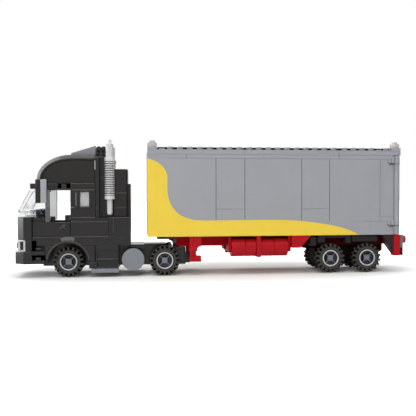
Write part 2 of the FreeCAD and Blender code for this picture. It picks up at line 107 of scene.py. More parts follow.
surfaceSettings = {"driftScale": 45.0, "grainScale": 2600.0, "markScale": 300.0, "markDepth": 0.12}


def makeMouldedGroup(settings):
    # Faint tone drift, fine grain and handling marks of moulded plastic
    tree, given, made = groupTree("mouldedSurface", "ShaderNodeTree", [
        ("Base", "NodeSocketColor", (0.5, 0.5, 0.5, 1)),
        ("Gloss", "NodeSocketFloat", 0.3),
        ("Drift", "NodeSocketFloat", 0.06),
        ("Grain", "NodeSocketFloat", 1.0)],
        [("Color", "NodeSocketColor"), ("Roughness", "NodeSocketFloat"), ("Height", "NodeSocketFloat")])
    place = addNode(tree, "ShaderNodeTexCoord").outputs["Object"]
    broad = addNode(tree, "ShaderNodeTexNoise", {
        "Vector": place, "Scale": settings["driftScale"], "Detail": 2.0})
    fine = addNode(tree, "ShaderNodeTexNoise", {
        "Vector": place, "Scale": settings["grainScale"], "Detail": 1.0})
    marks = addNode(tree, "ShaderNodeTexNoise", {
        "Vector": place, "Scale": settings["markScale"], "Detail": 4.0, "Roughness": 0.7})
    swing = mathNode(tree, "SUBTRACT", broad.outputs["Fac"], 0.5)
    value = mathNode(tree, "ADD", mathNode(tree, "MULTIPLY", swing, given.outputs["Drift"]), 1.0)
    tone = addNode(tree, "ShaderNodeHueSaturation", {"Value": value, "Color": given.outputs["Base"]})
    rough = mathNode(tree, "SUBTRACT", marks.outputs["Fac"], 0.5)
    rough = mathNode(tree, "MULTIPLY", rough, settings["markDepth"])
    height = mathNode(tree, "MULTIPLY", fine.outputs["Fac"], given.outputs["Grain"])
    tree.links.new(tone.outputs["Color"], made.inputs["Color"])
    tree.links.new(mathNode(tree, "ADD", rough, given.outputs["Gloss"]), made.inputs["Roughness"])
    tree.links.new(height, made.inputs["Height"])
    return tree


mouldedGroup = makeMouldedGroup(surfaceSettings)


def linear(red, green, blue):
    values = [v / 255 for v in (red, green, blue)]
    return [v / 12.92 if v <= 0.04045 else ((v + 0.055) / 1.055) ** 2.4 for v in values] + [1.0]


def nodeOf(material, kind):
    return next(n for n in material.node_tree.nodes if n.type == kind)


def baseMaterial(name):
    material = bpy.data.materials.new(name)
    material.use_nodes = True
    return material, material.node_tree, nodeOf(material, "BSDF_PRINCIPLED")


plasticDefaults = {"drift": 0.06, "shine": 0.4, "ior": 1.5, "bump": 0.25, "grainDepth": 0.00002}
clearDefaults = {"drift": 0.02}


def mouldedMaterial(name, settings):
    material, tree, shader = baseMaterial(name)
    moulding = addNode(tree, "ShaderNodeGroup", {
        "Base": linear(*settings["colour"]), "Gloss": settings["roughness"], "Drift": settings["drift"]},
        node_tree=mouldedGroup)
    tree.links.new(moulding.outputs["Color"], shader.inputs["Base Color"])
    tree.links.new(moulding.outputs["Roughness"], shader.inputs["Roughness"])
    shader.inputs["IOR"].default_value = settings["ior"]
    return material


def plasticMaterial(name, settings):
    settings = {**plasticDefaults, **settings}
    material = mouldedMaterial(name, settings)
    shader = nodeOf(material, "BSDF_PRINCIPLED")
    bump = addNode(material.node_tree, "ShaderNodeBump", {
        "Height": nodeOf(material, "GROUP").outputs["Height"], "Strength": settings["bump"],
        "Distance": settings["grainDepth"]})
    material.node_tree.links.new(bump.outputs["Normal"], shader.inputs["Normal"])
    shader.inputs["Specular IOR Level"].default_value = settings["shine"]
    return material


def clearMaterial(name, settings):
    material = mouldedMaterial(name, {**clearDefaults, **settings})
    nodeOf(material, "BSDF_PRINCIPLED").inputs["Transmission Weight"].default_value = settings["clear"]
    return material


def layerTones(material, colour, layers):
    # Each mask lays its tone over the ones before it
    tree = material.node_tree
    colour = linear(*colour)
    for mask, tone in layers:
        colour = addNode(tree, "ShaderNodeMix", {"Factor": mask, "A": colour, "B": linear(*tone)},
                         data_type="RGBA").outputs["Result"]
    tree.links.new(colour, nodeOf(material, "GROUP").inputs["Base"])


def splitMaterial(name, settings, others):
    # Plastic with another colour where the object's place passes each of the given limits, in millimetres
    material = plasticMaterial(name, settings)
    tree = material.node_tree
    place = addNode(tree, "ShaderNodeTexCoord").outputs["Object"]
    split = addNode(tree, "ShaderNodeSeparateXYZ", {"Vector": place})
    layers = []
    for limits, tone in others:
        beyond = 1.0
        for axis, start in limits.items():
            passed = mathNode(tree, "GREATER_THAN", split.outputs[axis], start * mm)
            beyond = mathNode(tree, "MULTIPLY", passed, beyond)
        layers.append((beyond, tone))
    layerTones(material, settings["colour"], layers)
    return material


def shadedMaterial(name, settings, marks):
    # Plastic with other colours where the mesh's own attributes mark them: painted shade in grooves and
    # recesses, a painted highlight on a lip
    material = plasticMaterial(name, settings)
    tree = material.node_tree
    layers = []
    for attribute, tone in marks:
        mark = addNode(tree, "ShaderNodeAttribute", attribute_name=attribute)
        layers.append((mark.outputs["Fac"], tone))
    layerTones(material, settings["colour"], layers)
    return material


materialSettings = {
    "black_plastic": {"colour": (27, 25, 25), "roughness": 0.22, "drift": 0.15, "shine": 0.36, "bump": 0.04},
    "dark_grey_plastic": {"colour": (78, 79, 80), "roughness": 0.32, "shine": 0.3},
    "mid_grey_plastic": {"colour": (126, 129, 136), "roughness": 0.32, "shine": 0.3},
    "light_grey_plastic": {"colour": (154, 156, 161), "roughness": 0.38, "shine": 0.25},
    "silver_plastic": {"colour": (188, 188, 187), "roughness": 0.3, "shine": 0.3},
    "red_plastic": {"colour": (172, 14, 28), "roughness": 0.34, "shine": 0.14},
    "wheel_grey": {"colour": (116, 119, 127), "roughness": 0.3},
    "tyre_rubber": {"colour": (68, 66, 62), "roughness": 0.66, "drift": 0.25, "bump": 0.3, "shine": 0.06},
}
clearSettings = {
    "clear_plastic": {"colour": (246, 249, 250), "roughness": 0.04, "clear": 1.0, "ior": 1.3},
    "clear_red_plastic": {"colour": (214, 40, 34), "roughness": 0.08, "clear": 0.7, "ior": 1.4},
}
materials = {}
for slotName, chosen in materialSettings.items():
    materials[slotName] = plasticMaterial(slotName, chosen)
for slotName, chosen in clearSettings.items():
    materials[slotName] = clearMaterial(slotName, chosen)


# Trailer sides: grey with the yellow wave, given by its upper edge from front to rear

waveSettings = {
    "yellow": (233, 202, 70),
    "x": (-57.0, 151.3),
    "z": (32.0, 99.2),
    "lobe": ((31.0, -20.0), (46.6, -22.4), (47.4, -25.3), (49.3, -29.6), (50.9, -31.9), (53.5, -34.6),
             (57.5, -37.4), (61.6, -39.3), (65.7, -40.3), (69.7, -40.7), (77.8, -40.8), (81.9, -41.0),
             (85.9, -42.3), (87.4, -43.1), (89.4, -44.7), (92.0, -47.9), (93.7, -51.1), (95.0, -54.4),
             (95.6, -57.0), (99.2, -72.0)),
    "band": ((-57.0, 47.0), (-25.3, 47.0), (-18.8, 45.7), (-12.2, 45.2), (1.0, 45.1), (34.0, 45.4),
             (54.6, 45.2), (68.2, 44.3), (81.9, 42.9), (88.8, 41.8), (95.7, 40.6), (102.7, 39.1),
             (109.6, 37.1), (116.6, 34.5), (121.0, 31.6), (151.3, 20.0)),
}


def edgeCurve(tree, value, points, fromRange, toRange):
    # Edge of the wave: where it lies on the second axis at a place on the first, both in millimetres
    low, high = fromRange
    first, last = toRange
    share = mathNode(tree, "DIVIDE", mathNode(tree, "SUBTRACT", value, low * mm), (high - low) * mm)
    curve = addNode(tree, "ShaderNodeFloatCurve", {"Value": share})
    curve.mapping.clip_min_y = -0.3
    line = curve.mapping.curves[0]
    places = [((a - low) / (high - low), (b - first) / (last - first)) for a, b in points]
    while len(line.points) < len(places):
        line.points.new(0.5, 0.5)
    for point, place in zip(line.points, places):
        point.location = place
    curve.mapping.update()
    scaled = mathNode(tree, "MULTIPLY", curve.outputs["Value"], (last - first) * mm)
    return mathNode(tree, "ADD", scaled, first * mm)


def makeWaveMaterial(settings):
    grey = materialSettings["light_grey_plastic"]
    material = plasticMaterial("trailerWave", grey)
    tree = material.node_tree
    place = addNode(tree, "ShaderNodeTexCoord").outputs["Object"]
    split = addNode(tree, "ShaderNodeSeparateXYZ", {"Vector": place})
    x, z = split.outputs["X"], split.outputs["Z"]
    lobe = edgeCurve(tree, z, settings["lobe"], settings["z"], settings["x"])
    band = edgeCurve(tree, x, settings["band"], settings["x"], settings["z"])
    inLobe = mathNode(tree, "LESS_THAN", x, lobe)
    inBand = mathNode(tree, "LESS_THAN", z, band)
    inside = mathNode(tree, "MAXIMUM", inLobe, inBand)
    layerTones(material, grey["colour"], [(inside, settings["yellow"])])
    return material


waveMaterial = makeWaveMaterial(waveSettings)


# Nodes that show more than one colour or a tone of their own

def tinted(slotName, colour, **others):
    return {**materialSettings[slotName], "colour": colour, **others}


def tintedPlastic(name, slotName, colour, **others):
    return plasticMaterial(name, tinted(slotName, colour, **others))


nodeFinish = {
    "mirrors": splitMaterial("mirrorPlastic", tinted("black_plastic", (27, 26, 25)), (
        ({"X": -141.0}, (154, 157, 163)),)),
    "pillars": splitMaterial("pillarPlastic", tinted("dark_grey_plastic", (86, 89, 95)), (
        ({"Z": 57.0}, (106, 109, 115)),)),
    "windscreen": clearMaterial("windscreenPlastic", {
        "colour": (238, 239, 240), "roughness": 0.04, "clear": 1.0, "ior": 1.04}),
    "headlamps": clearMaterial("headlampPlastic", {
        "colour": (226, 228, 230), "roughness": 0.3, "clear": 0.35, "ior": 1.4}),
    "corner_lamps": clearMaterial("cornerLampPlastic", {
        "colour": (196, 194, 188), "roughness": 0.2, "clear": 0.6, "ior": 1.4}),
    "sleeper_glass": clearMaterial("frostedPane", {
        "colour": (190, 190, 190), "roughness": 0.5, "clear": 0.1, "ior": 1.3}),
    # Painted shade: the eave plates are near black between X -127.8 and -118.2, behind the eave details
    "eave_plates": splitMaterial("eaveShadePlastic", materialSettings["black_plastic"], (
        ({"X": -127.8}, (5, 5, 5)), ({"X": -118.2}, (26, 25, 24)))),
    # Painted shade: the frame is near black beyond X 76, over the rear wheels, and dark red there above Z
    # 22.5
    "trailer_frame": splitMaterial(
        "framePlastic", tinted("red_plastic", (172, 14, 28), shine=0.04, roughness=0.7), (
            ({"X": 76.0}, (24, 9, 10)), ({"X": 76.0, "Z": 22.5}, (84, 8, 15)))),
    # Painted shade: beyond X 150 the red of the lower brackets is darkened for the shade under the tail
    "trailer_brackets": splitMaterial("bracketShadePlastic", tinted("red_plastic", (40, 38, 38), shine=0.03), (
        ({"X": 0.0}, (158, 14, 26)), ({"X": 150.0}, (88, 10, 18)),
        ({"X": 150.0, "Z": 21.0}, (110, 107, 104)))),
    # Painted shade: the slopes beyond X 140, under the tail, are dark red below Z 24 and dark brown above
    "slope_brackets": splitMaterial("slopeShadePlastic", tinted("red_plastic", (172, 14, 28)), (
        ({"X": 140.0}, (44, 14, 18)), ({"X": 140.0, "Z": 24.0}, (40, 26, 28)))),
    "cab_roof": tintedPlastic("roofPlastic", "black_plastic", (43, 42, 41), shine=0.15),
    "wind_deflector": tintedPlastic("deflectorPlastic", "mid_grey_plastic", (132, 134, 140)),
    # Painted shade: the mudguards are near black for the shade under the trailer floor
    "mudguards": tintedPlastic("mudguardShadePlastic", "dark_grey_plastic", (38, 38, 37), shine=0.12),
}
# Painted shade: the tyre turns near black where the mesh's attribute marks the carcass between the lugs
tyreMaterial = shadedMaterial("tyreRubber", materialSettings["tyre_rubber"], (("grooveShade", (3, 3, 3)),))
# Painted shade in the rim's recess and on its spokes, and a painted highlight on its outer lip, where the
# mesh's attributes mark them
rimMaterial = shadedMaterial("rimPlastic", materialSettings["wheel_grey"], (
    ("recess", (22, 25, 32)), ("lip", (206, 208, 216))))
slotOf = {part["node"]: part["material_slot"] for part in frame["record"]["subparts"]}
bodyOf = {}
for bodyName, members in frame["record"]["behaviour"]["bodies"].items():
    for member in members:
        bodyOf[member] = bodyName
print("stage: materials made")


# Mesh helpers

def meshObject(name, bm):
    bmesh.ops.recalc_face_normals(bm, faces=bm.faces[:])
    mesh = bpy.data.meshes.new(name)
    bm.to_mesh(mesh)
    bm.free()
    return addObject(name, mesh)


def smoothItem(name, bm):
    item = meshObject(name, bm)
    item.data.shade_smooth()
    return item


def softenEdges(piece, width, angle):
    bevel = piece.modifiers.new("softEdges", "BEVEL")
    bevel.width = width * mm
    bevel.segments = 2
    bevel.limit_method = "ANGLE"
    bevel.angle_limit = math.radians(angle)
    piece.data.shade_smooth()
    bpy.context.view_layer.update()
    return bevel


def placePiece(piece, body, slotName, material=None, nodes=()):
    piece.data.materials.clear()
    piece.data.materials.append(material or materials[slotName])
    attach(piece, body)
    if nodes:
        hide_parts(*nodes)
    return piece


def addBlock(bm, x, y, z):
    # One block between two places on each axis, in millimetres
    corners = [bm.verts.new((i * mm, j * mm, k * mm)) for i in x for j in y for k in z]
    for ids in ((0, 1, 3, 2), (4, 6, 7, 5), (0, 4, 5, 1), (2, 3, 7, 6), (0, 2, 6, 4), (1, 5, 7, 3)):
        bm.faces.new([corners[n] for n in ids])


def addPrism(bm, outline, y, band=False):
    # Side outline of (x, z) places drawn across between two places in y.
    # A band's outline holds its outer edge, then its inner edge backwards
    near, far = ([bm.verts.new((a * mm, b * mm, c * mm)) for a, c in outline] for b in y)
    count = len(outline)
    if band:
        for k in range(count // 2 - 1):
            n = count - 1 - k
            bm.faces.new((near[k], near[k + 1], near[n - 1], near[n]))
            bm.faces.new((far[n], far[n - 1], far[k + 1], far[k]))
    else:
        bm.faces.new(near)
        bm.faces.new(far[::-1])
    for k in range(count):
        n = (k + 1) % count
        bm.faces.new((near[k], far[k], far[n], near[n]))


def addTube(bm, route, radius, sides=12):
    # Round rod along a route of places, in millimetres
    route = [Vector(p) * mm for p in route]
    rings = []
    for k, place in enumerate(route):
        ahead = (route[min(k + 1, len(route) - 1)] - route[max(k - 1, 0)]).normalized()
        across = ahead.cross(Vector((0, 1, 0)) if abs(ahead.y) < 0.9 else Vector((0, 0, 1))).normalized()
        over = ahead.cross(across)
        ring = []
        for s in range(sides):
            a = 2 * math.pi * s / sides
            ring.append(bm.verts.new(place + (across * math.cos(a) + over * math.sin(a)) * radius * mm))
        rings.append(ring)
    for first, second in zip(rings, rings[1:]):
        for s in range(sides):
            n = (s + 1) % sides
            bm.faces.new((first[s], first[n], second[n], second[s]))
    bm.faces.new(rings[0][::-1])
    bm.faces.new(rings[-1])


def revolve(bm, profile, sides, axis="Z", closed=False, at=(0, 0)):
    # Surface of revolution from (radius, height) points, about Z or Y
    rings = []
    for radius, height in profile:
        ring = []
        for k in range(sides):
            a = 2 * math.pi * k / sides
            x, y = at[0] + radius * math.cos(a), at[1] + radius * math.sin(a)
            place = (x, y, height) if axis == "Z" else (x, height, y)
            ring.append(bm.verts.new([v * mm for v in place]))
        rings.append(ring)
    pairs = list(zip(rings, rings[1:])) + ([(rings[-1], rings[0])] if closed else [])
    for first, second in pairs:
        for k in range(sides):
            n = (k + 1) % sides
            bm.faces.new((first[k], first[n], second[n], second[k]))
    if not closed:
        bm.faces.new(rings[0][::-1])
        bm.faces.new(rings[-1])


def mirrored(side, span):
    return sorted(side * v for v in span)


def arcLine(centre, reach, steps):
    # Half an ellipse over a place in x and z, from rear to front
    turns = [math.pi * k / steps for k in range(steps + 1)]
    return [(centre[0] + reach[0] * math.cos(a), centre[1] + reach[1] * math.sin(a)) for a in turns]


def openFrame(outerX, innerX, y, outerZ, innerZ):
    # Four blocks round an opening
    return (((outerX[0], innerX[0]), y, outerZ), ((innerX[1], outerX[1]), y, outerZ),
            (innerX, y, (outerZ[0], innerZ[0])), (innerX, y, (innerZ[1], outerZ[1])))


# A piece's settings give its body, slot and edge width, and its own colour where it has one
pieceDefaults = {"body": "tractor", "slot": "black_plastic", "soft": 0.2, "angle": 25, "nodes": (),
                 "colour": None, "like": None, "finish": {}, "material": None}
trimDefaults = {"single": (), "blocks": (), "rods": {}, "rod": 0.3, "rodSides": 8, "prisms": (), "bands": ()}


def finishPiece(name, bm, settings):
    settings = {**pieceDefaults, **settings}
    material = settings["material"]
    if settings["colour"]:
        likeSlot = settings["like"] or settings["slot"]
        material = tintedPlastic(name + "Plastic", likeSlot, settings["colour"], **settings["finish"])
    piece = meshObject(name, bm)
    softenEdges(piece, settings["soft"], settings["angle"])
    piece.modifiers.new("evenShading", "WEIGHTED_NORMAL").keep_sharp = True
    return placePiece(piece, settings["body"], settings["slot"], material, settings["nodes"])


def makeTrim(name, settings):
    # Single blocks stand where they are; blocks, rods, prisms and bands stand on both sides of the truck
    bm = bmesh.new()
    shapes = {**trimDefaults, **settings}
    for side in (-1, 1):
        for x, y, z in shapes["blocks"]:
            addBlock(bm, x, mirrored(side, y), z)
        for y, lines in shapes["rods"].items():
            for line in lines:
                addTube(bm, [(x, side * y, z) for x, z in line], shapes["rod"], shapes["rodSides"])
        for outline, y in shapes["prisms"]:
            addPrism(bm, outline, mirrored(side, y))
        for outline, y in shapes["bands"]:
            addPrism(bm, outline, mirrored(side, y), True)
    for x, y, z in shapes["single"]:
        addBlock(bm, x, y, z)
    finishPiece(name, bm, settings)


# The frame's own nodes with moulded, rounded edges

ownSolids = {"cab_interior": ((-133.0, 12.7, 40.8),), "pillars": ((-136.0, 22.4, 57.6),),
             "slope_brackets": ((146.2, -12.0, 23.3), (146.2, 12.0, 23.3))}
tailPosts = {"beyond": 150.0, "inner": 14.0, "trailer_brackets": 20.6, "rear_bumper": 17.2}
mergeSettings = {"doubles": 0.002, "flat": 1}


def looseSolids(bm):
    left = set(bm.verts)
    while left:
        solid, edge = [], [left.pop()]
        while edge:
            vert = edge.pop()
            solid.append(vert)
            for link in vert.link_edges:
                other = link.other_vert(vert)
                if other in left:
                    left.discard(other)
                    edge.append(other)
        yield solid


def dropSolid(bm, place):
    # Leaves out the one solid whose middle lies nearest to the place, which another piece stands for
    def away(solid):
        middle = [(min(v.co[i] for v in solid) + max(v.co[i] for v in solid)) / 2 for i in range(3)]
        return (Vector(middle) - Vector(place) * mm).length

    bmesh.ops.delete(bm, geom=min(looseSolids(bm), key=away), context="VERTS")


def roundedNode(node, width):
    bm = bmesh.new()
    bm.from_mesh(frame["nodes"][node].data)
    bmesh.ops.remove_doubles(bm, verts=bm.verts[:], dist=mergeSettings["doubles"] * mm)
    flat = math.radians(mergeSettings["flat"])
    bmesh.ops.dissolve_limit(bm, angle_limit=flat, verts=bm.verts[:], edges=bm.edges[:])
    for place in ownSolids.get(node, ()):
        dropSolid(bm, place)
    if node in tailPosts:
        for v in bm.verts:
            if v.co.x > tailPosts["beyond"] * mm and abs(v.co.y) < tailPosts["inner"] * mm:
                v.co.y = math.copysign(tailPosts[node] * mm, v.co.y)
    return finishPiece(node + "_moulded", bm, {
        "body": bodyOf[node], "slot": slotOf[node], "soft": width, "material": nodeFinish.get(node),
        "nodes": (node,)})


roundedWidths = {
    "tractor_frame": 0.35, "tank_covers": 0.35, "front_bumper": 0.5, "headlamps": 0.25, "front_panel": 0.5,
    "cab_floor": 0.4, "wheel_arches": 0.35, "step_boxes": 0.35, "step_tiles": 0.35, "door_right": 0.45,
    "door_left": 0.45, "cab_side_walls": 0.4, "rear_cab": 0.35, "pillars": 0.3, "windscreen": 0.3,
    "cab_interior": 0.3, "cab_roof": 0.45, "eave_plates": 0.35, "sun_visor": 0.4, "wind_deflector": 0.35,
    "mirrors": 0.35, "trailer_wall_right": 0.22, "trailer_wall_left": 0.22,
    "trailer_front_wall": 0.22, "trailer_floor": 0.2, "trailer_roof": 0.22, "corner_lamps": 0.3,
    "trailer_frame": 0.3, "landing_legs": 0.25, "trailer_tanks": 0.3, "mudguards": 0.3,
    "slope_brackets": 0.25,
    "rear_bumper": 0.3, "trailer_brackets": 0.25, "tail_lamps": 0.3, "rear_door_left": 0.35,
    "rear_door_right": 0.35, "sleeper_glass": 0.1,
}
moulded = {}
for nodeName, edgeWidth in roundedWidths.items():
    moulded[nodeName] = roundedNode(nodeName, edgeWidth)
for nodeName in ("trailer_wall_left", "trailer_wall_right", "trailer_front_wall"):
    moulded[nodeName].data.materials[0] = waveMaterial
print("stage: moulded bricks made")


# Repeated items are scattered over points by one geometry node tree

def makeScatterTree():
    tree, given, made = groupTree("scatterItems", "GeometryNodeTree", [
        ("Geometry", "NodeSocketGeometry", None), ("Item", "NodeSocketObject", None),
        ("Item Scale", "NodeSocketFloat", None), ("Material", "NodeSocketMaterial", None)],
        [("Geometry", "NodeSocketGeometry")])
    item = addNode(tree, "GeometryNodeObjectInfo", {"Object": given.outputs["Item"]})
    turn = addNode(tree, "GeometryNodeInputNamedAttribute", {"Name": "turn"}, data_type="FLOAT_VECTOR")
    scatter = addNode(tree, "GeometryNodeInstanceOnPoints", {
        "Points": given.outputs["Geometry"], "Instance": item.outputs["Geometry"],
        "Rotation": turn.outputs["Attribute"], "Scale": given.outputs["Item Scale"]})
    real = addNode(tree, "GeometryNodeRealizeInstances", {"Geometry": scatter.outputs["Instances"]})
    finish = addNode(tree, "GeometryNodeSetMaterial", {
        "Geometry": real.outputs["Geometry"], "Material": given.outputs["Material"]})
    tree.links.new(finish.outputs["Geometry"], made.inputs["Geometry"])
    return tree


scatterTree = makeScatterTree()


def scatterMesh(name, item, points, material, turns=None):
    # Plain mesh of the item repeated at every point, turned as given in radians
    cloud = bpy.data.meshes.new(name + "Points")
    cloud.from_pydata([tuple(v * mm for v in p) for p in points], [], [])
    turnData = cloud.attributes.new("turn", "FLOAT_VECTOR", "POINT")
    for k, turn in enumerate(turns or [(0, 0, 0)] * len(points)):
        turnData.data[k].vector = turn
    holder = addObject(name + "Points", cloud)
    modifier = holder.modifiers.new("scatter", "NODES")
    modifier.node_group = scatterTree
    sockets = {s.name: s.identifier for s in scatterTree.interface.items_tree if s.in_out == "INPUT"}
    modifier[sockets["Item"]] = item
    modifier[sockets["Item Scale"]] = 1.0
    modifier[sockets["Material"]] = material
    bpy.context.view_layer.update()
    shown = holder.evaluated_get(bpy.context.evaluated_depsgraph_get())
    mesh = bpy.data.meshes.new_from_object(shown)
    holder.modifiers.remove(modifier)
    bpy.data.objects.remove(holder)
    bpy.data.objects.remove(item)
    return mesh


# Two rows of roof studs with black blocks between them; the frame already has the four studs of the mount

studSettings = {"radius": 2.4, "height": 2.4, "foot": -0.2, "sides": 24, "round": 0.22, "roof": 103.2,
                "front": -57.0, "pitch": 8.0, "row": 20.0, "farCorners": (0.5, 26.2),
                "runs": ((25.33, 0.0, 1), (2.33, 1.02, 8), (10.55, 1.0, 10), (20.75, 0.97, 4))}
roofBlackSettings = {
    "body": "trailer", "soft": 0.2, "colour": (27, 26, 26), "finish": {"roughness": 0.5, "shine": 0.04},
    "single": [(x, (-16.0, 16.0), (102.35, 105.55)) for x in (
        (-48.6, 22.52), (23.48, 102.52), (103.48, 135.0), (135.96, 148.6))],
}
# The thin plates under the stud rows are narrower beside the four studs of the mount
capSettings = {
    "body": "trailer", "slot": "light_grey_plastic", "soft": 0.1,
    "blocks": [(x, (low, 23.9), (102.35, 103.2)) for x, low in (
        ((-48.9, -47.7), 16.1), ((-47.7, -42.3), 22.6), ((-42.3, 22.9), 16.1), ((23.1, 102.9), 16.1),
        ((103.1, 136.3), 16.1), ((136.3, 141.7), 22.6), ((141.7, 149.1), 16.1))],
}


def makeRoofStuds(settings):
    bm = bmesh.new()
    r, h, soft = settings["radius"], settings["height"], settings["round"]
    profile = [(r, settings["foot"]), (r, h - soft), (r - soft * 0.3, h - soft * 0.3), (r - soft, h)]
    revolve(bm, profile, settings["sides"])
    places = [start + step * k for start, step, count in settings["runs"] for k in range(count)]
    points = []
    for side, row in ((-1, places), (1, places + list(settings["farCorners"]))):
        for n in row:
            x = settings["front"] + settings["pitch"] * n
            points.append((x, side * settings["row"], settings["roof"]))
    mesh = scatterMesh("roofStuds", smoothItem("studItem", bm), points, materials["light_grey_plastic"])
    placePiece(addObject("roofStuds", mesh), "trailer", "light_grey_plastic")


makeRoofStuds(studSettings)
makeTrim("roofTiles", roofBlackSettings)
makeTrim("roofCaps", capSettings)
print("stage: roof made")


# Exhausts: an upright pipe in a ribbed sleeve on each side

# The groove tone is painted shade on the sleeve between the exhaust's ribs
exhaustSettings = {
    "slot": "silver_plastic", "soft": 0.06, "angle": 50, "nodes": ("exhausts",), "tone": (206, 206, 205),
    "grooveShade": (96, 96, 96), "x": -87.32, "y": 20.0, "pipe": 2.2, "low": 49.9, "high": 110.6, "sides": 24,
    "sleeve": 3.2, "sleeveLow": 62.6, "sleeveHigh": 96.6, "sleeveSides": 28, "ribs": 15, "ribLow": 66.6,
    "ribPitch": 1.83, "rib": 4.0, "arm": 1.0, "armLow": 70.4, "armHigh": 73.6, "armEnd": 16.0,
    "collarLow": 96.5, "collarHigh": 107.9, "collar": 3.0,
}


def ribItem(settings):
    bm = bmesh.new()
    r, half = settings["rib"], settings["ribPitch"] * 0.25
    inner = settings["sleeve"] - 0.3
    revolve(bm, [(inner, -half), (r - 0.25, -half), (r, -half * 0.4), (r, half * 0.4), (r - 0.25, half),
                 (inner, half)], settings["sleeveSides"], closed=True)
    return smoothItem("ribItem", bm)


def stackProfiles(settings, ribTop):
    # Profiles of the pipe, of the sleeve and of its collar
    pipe, low, high = settings["pipe"], settings["low"], settings["high"]
    yield settings["sides"], [
        (pipe * 0.45, low), (pipe * 0.8, low + 0.5), (pipe, low + 1.6), (pipe, high - 3.0),
        (pipe * 0.8, high - 2.4), (pipe * 0.72, high), (pipe * 0.5, high), (pipe * 0.5, high - 2.0)]
    sleeve, rib, ribLow = settings["sleeve"], settings["rib"], settings["ribLow"]
    low, high = settings["sleeveLow"], settings["sleeveHigh"]
    yield settings["sleeveSides"], [
        (pipe, low), (rib, low + 0.2), (rib, ribLow - 1.0), (sleeve, ribLow - 0.9), (sleeve, ribTop),
        (rib, ribTop + 0.2), (rib, high - 0.3), (rib - 0.3, high), (pipe, high)]
    collar, low, high = settings["collar"], settings["collarLow"], settings["collarHigh"]
    yield settings["sides"], [
        (pipe, low), (collar, low + 0.1), (collar, low + 3.4), (collar - 0.3, low + 3.7),
        (collar - 0.3, low + 4.3), (collar, low + 4.6), (collar, high - 3.4), (collar - 0.3, high - 3.1),
        (collar - 0.3, high - 2.6), (collar, high - 2.3), (collar, high - 0.4), (pipe, high)]


def makeExhausts(settings):
    x, arm, ribLow, ribPitch = (settings[k] for k in ("x", "arm", "ribLow", "ribPitch"))
    ribTop = ribLow + ribPitch * (settings["ribs"] - 0.5)
    points = []
    bm = bmesh.new()
    for side in (-1, 1):
        y = side * settings["y"]
        for sides, profile in stackProfiles(settings, ribTop):
            revolve(bm, profile, sides, at=(x, y))
        addBlock(bm, (x - arm, x + arm), sorted((side * settings["armEnd"], y)),
                 (settings["armLow"], settings["armHigh"]))
        points += [(x, y, ribLow + ribPitch * k) for k in range(settings["ribs"])]
    bm.from_mesh(scatterMesh("exhaustRibs", ribItem(settings), points, materials["silver_plastic"]))
    # Painted shade: the sleeve between the ribs is marked to take the darker groove tone
    grooveShade = bm.verts.layers.float.new("grooveShade")
    for vert in bm.verts:
        reach = math.hypot(vert.co.x / mm - x, abs(vert.co.y / mm) - settings["y"])
        ribbed = ribLow - 0.95 < vert.co.z / mm < ribTop + 0.1
        vert[grooveShade] = 1.0 if ribbed and reach < settings["sleeve"] + 0.1 else 0.0
    lit = shadedMaterial("stackPlastic", tinted(settings["slot"], settings["tone"]), (
        ("grooveShade", settings["grooveShade"]),))
    finishPiece("exhaustStacks", bm, {**settings, "material": lit})


makeExhausts(exhaustSettings)
print("stage: exhausts made")


# Horn block behind the wind deflector

hornSettings = {"soft": 0.2, "angle": 35, "nodes": ("roof_cylinders",), "middle": -94.2, "y": 15.8,
                "low": 97.3, "base": 101.6, "rods": (-96.1, -92.4), "rod": 1.75, "ring": 2.15, "rodZ": 103.9,
                "bells": (-12.0, -4.0, 4.0, 12.0), "bell": 3.6}


def makeHorns(settings):
    bm = bmesh.new()
    low, base, r, end, z = (settings[k] for k in ("low", "base", "bell", "y", "rodZ"))
    for y in settings["bells"]:
        revolve(bm, [(r, low), (r, base - 1.6), (r - 0.5, base - 1.3), (r - 0.5, base - 0.5), (r, base - 0.2),
                     (r, base + 0.4), (r - 0.7, base + 0.8)], 20, at=(settings["middle"], y))
    for x in settings["rods"]:
        addTube(bm, [(x, y, z) for y in (-end, -end + 3, end - 3, end)], settings["rod"], 16)
        for side in (-1, 1):
            addTube(bm, [(x, side * (end - 3.4), z), (x, side * (end - 2.2), z)], settings["ring"], 16)
    addBlock(bm, settings["rods"], (-end + 1, end - 1), (base, z - 0.6))
    finishPiece("hornBlock", bm, settings)


makeHorns(hornSettings)
print("stage: horns made")


# Cab trim: wheel arch rims, door handles, window frames, seams, screen edges, recesses and headlamps; the
# arch rims, handles, frame edges and seams carry painted highlights, the recesses painted shade

def ringBand(centre, radii, turn, steps, y):
    (inner, outer), (start, end) = radii, turn
    outline = []
    for radius, turns in ((outer, range(steps + 1)), (inner, range(steps, -1, -1))):
        for k in turns:
            a = math.radians(start + (end - start) * k / steps)
            outline.append((centre[0] + radius * math.cos(a), centre[1] + radius * math.sin(a)))
    return outline, y


archCentre = (-120.28, 12.4)
# Painted highlights: the ring along the arch's edge and the bump on its top are lighter than the black arch
archSettings = {
    "archRims": {"soft": 0.15, "angle": 40, "colour": (58, 55, 50), "finish": {"roughness": 0.4},
                 "bands": (ringBand(archCentre, (16.2, 17.3), (6, 172), 48, (23.8, 24.3)),)},
    "archTops": {"soft": 0.35, "angle": 40, "colour": (92, 90, 87), "finish": {"roughness": 0.3},
                 "bands": (ringBand(archCentre, (17.4, 20.2), (74, 107), 12, (23.0, 24.3)),)},
}
for pieceName, chosen in archSettings.items():
    makeTrim(pieceName, chosen)

# Painted highlight: the handle is drawn a little lighter than the black door
handleSettings = {"soft": 0.08, "angle": 60, "colour": (40, 39, 38), "centre": (-123.7, 38.2),
                  "reach": (2.9, 2.3), "steps": 12, "y": 24.9, "foot": 23.9, "rod": 0.5, "rodSides": 10}


